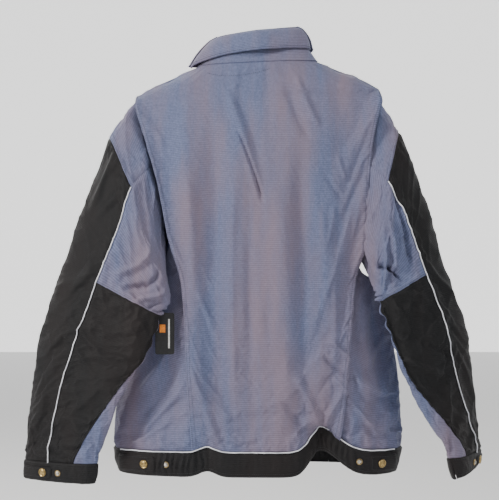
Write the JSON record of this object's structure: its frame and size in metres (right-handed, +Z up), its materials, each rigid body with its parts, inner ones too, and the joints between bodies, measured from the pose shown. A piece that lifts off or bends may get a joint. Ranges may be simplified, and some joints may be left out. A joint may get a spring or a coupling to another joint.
{
  "type": "work jacket",
  "caption": "Hip-length two-tone work jacket of woven twill, with a folded collar, pleated back, piped sleeves, snap-tab cuffs and waistband, and a snap-fastened front.",
  "frame": {"origin": "inside the middle of the neck opening, at the height of the back neck seam, where a hanger carries the jacket", "axes": "+Z up; +Y out of the back of the jacket; the wearer faces -Y and the wearer's left is +X"},
  "size_m": [0.8376, 0.2323, 0.8246],
  "materials": {
    "grey_twill": "woven, matt",
    "black_twill": "woven, matt",
    "piping": "satin, pale silver",
    "brass": "antiqued, satin",
    "tag_card": "semi-gloss"
  },
  "bodies": {
    "torso": {"back_panel": "grey_twill", "back_side_left": "grey_twill", "back_side_right": "grey_twill", "collar_back": "grey_twill", "front_side_left": "grey_twill", "front_side_right": "grey_twill", "waist_piping": "piping", "waist_snap_stud_left": "brass", "waist_snap_stud_right": "brass", "waistband_back": "black_twill"},
    "hanger_loop": {"hanger_loop": "black_twill"},
    "swing_tag": {"swing_tag": "tag_card"},
    "front_left": {"front_panel_left": "grey_twill", "chest_pocket_left": "grey_twill", "collar_wing_left": "grey_twill", "waistband_front_left": "black_twill", "placket": "black_twill", "front_snap_cap_1": "brass", "front_snap_cap_2": "brass", "front_snap_cap_3": "brass", "front_snap_cap_4": "brass", "front_snap_cap_5": "brass"},
    "front_right": {"front_panel_right": "grey_twill", "chest_pocket_right": "grey_twill", "collar_wing_right": "grey_twill", "waistband_front_right": "black_twill", "front_snap_stud_1": "brass", "front_snap_stud_2": "brass", "front_snap_stud_3": "brass", "front_snap_stud_4": "brass", "front_snap_stud_5": "brass"},
    "pocket_flap_left": {"pocket_flap_left": "black_twill", "pocket_snap_left": "brass"},
    "waist_tab_left": {"waist_tab_left": "black_twill", "waist_snap_cap_left": "brass"},
    "sleeve_left": {"sleeve_cap_left": "grey_twill", "sleeve_gusset_left": "grey_twill", "sleeve_lower_left": "black_twill", "sleeve_outer_left": "black_twill", "sleeve_piping_left": "piping", "sleeve_underarm_left": "grey_twill", "cuff_left": "black_twill", "cuff_snap_stud_left": "brass"},
    "cuff_tab_left": {"cuff_tab_left": "black_twill", "cuff_snap_cap_left": "brass"},
    "pocket_flap_right": {"pocket_flap_right": "black_twill", "pocket_snap_right": "brass"},
    "waist_tab_right": {"waist_tab_right": "black_twill", "waist_snap_cap_right": "brass"},
    "sleeve_right": {"sleeve_cap_right": "grey_twill", "sleeve_gusset_right": "grey_twill", "sleeve_lower_right": "black_twill", "sleeve_outer_right": "black_twill", "sleeve_piping_right": "piping", "sleeve_underarm_right": "grey_twill", "cuff_right": "black_twill", "cuff_snap_stud_right": "brass"},
    "cuff_tab_right": {"cuff_tab_right": "black_twill", "cuff_snap_cap_right": "brass"}
  },
  "joints": [
    {"name": "front_left_open", "type": "hinge", "parent": "torso", "child": "front_left", "pos_m": [0.135, -0.1026, -0.742], "axis": [0, 0.0499, 0.9988], "range_deg": [0, 110]},
    {"name": "front_right_open", "type": "hinge", "parent": "torso", "child": "front_right", "pos_m": [-0.135, -0.1026, -0.742], "axis": [0, -0.0499, -0.9988], "range_deg": [0, 55]},
    {"name": "left_sleeve_raise", "type": "hinge", "parent": "torso", "child": "sleeve_left", "pos_m": [0.2165, 0, -0.052], "axis": [0, -1, 0], "range_deg": [0, 70]},
    {"name": "right_sleeve_raise", "type": "hinge", "parent": "torso", "child": "sleeve_right", "pos_m": [-0.2165, 0, -0.047], "axis": [0, 1, 0], "range_deg": [0, 70]},
    {"name": "left_pocket_flap_lift", "type": "hinge", "parent": "front_left", "child": "pocket_flap_left", "pos_m": [0.0806, -0.0906, -0.1715], "axis": [-0.9941, -0.108, 0], "range_deg": [0, 120]},
    {"name": "right_pocket_flap_lift", "type": "hinge", "parent": "front_right", "child": "pocket_flap_right", "pos_m": [-0.0806, -0.0906, -0.1715], "axis": [-0.9941, 0.108, 0], "range_deg": [0, 120]},
    {"name": "left_waist_tab_open", "type": "hinge", "parent": "torso", "child": "waist_tab_left", "pos_m": [0.247, 0.0396, -0.7202], "axis": [0.013, -0.3899, -0.9208], "range_deg": [0, 70]},
    {"name": "right_waist_tab_open", "type": "hinge", "parent": "torso", "child": "waist_tab_right", "pos_m": [-0.247, 0.0396, -0.7202], "axis": [0.013, 0.3899, 0.9208], "range_deg": [0, 70]},
    {"name": "left_cuff_tab_open", "type": "hinge", "parent": "sleeve_left", "child": "cuff_tab_left", "pos_m": [0.4246, 0.0325, -0.737], "axis": [0.0227, -0.0548, -0.9982], "range_deg": [0, 70]},
    {"name": "right_cuff_tab_open", "type": "hinge", "parent": "sleeve_right", "child": "cuff_tab_right", "pos_m": [-0.415, -0.0338, -0.7204], "axis": [-0.1822, 0.2575, 0.9489], "range_deg": [0, 70]},
    {"name": "hanger_loop_flip", "type": "hinge", "parent": "torso", "child": "hanger_loop", "pos_m": [0, 0.0406, -0.0055], "axis": [-1, 0, 0], "range_deg": [0, 70]},
    {"name": "swing_tag_swing", "type": "hinge", "parent": "torso", "child": "swing_tag", "pos_m": [0.165, 0.0875, -0.448], "axis": [0, 1, 0], "range_deg": [-2, 6]}
  ],
  "couplings": [
    {"joint": "front_right_open", "follows": "front_left_open", "ratio": 0.5}
  ]
}
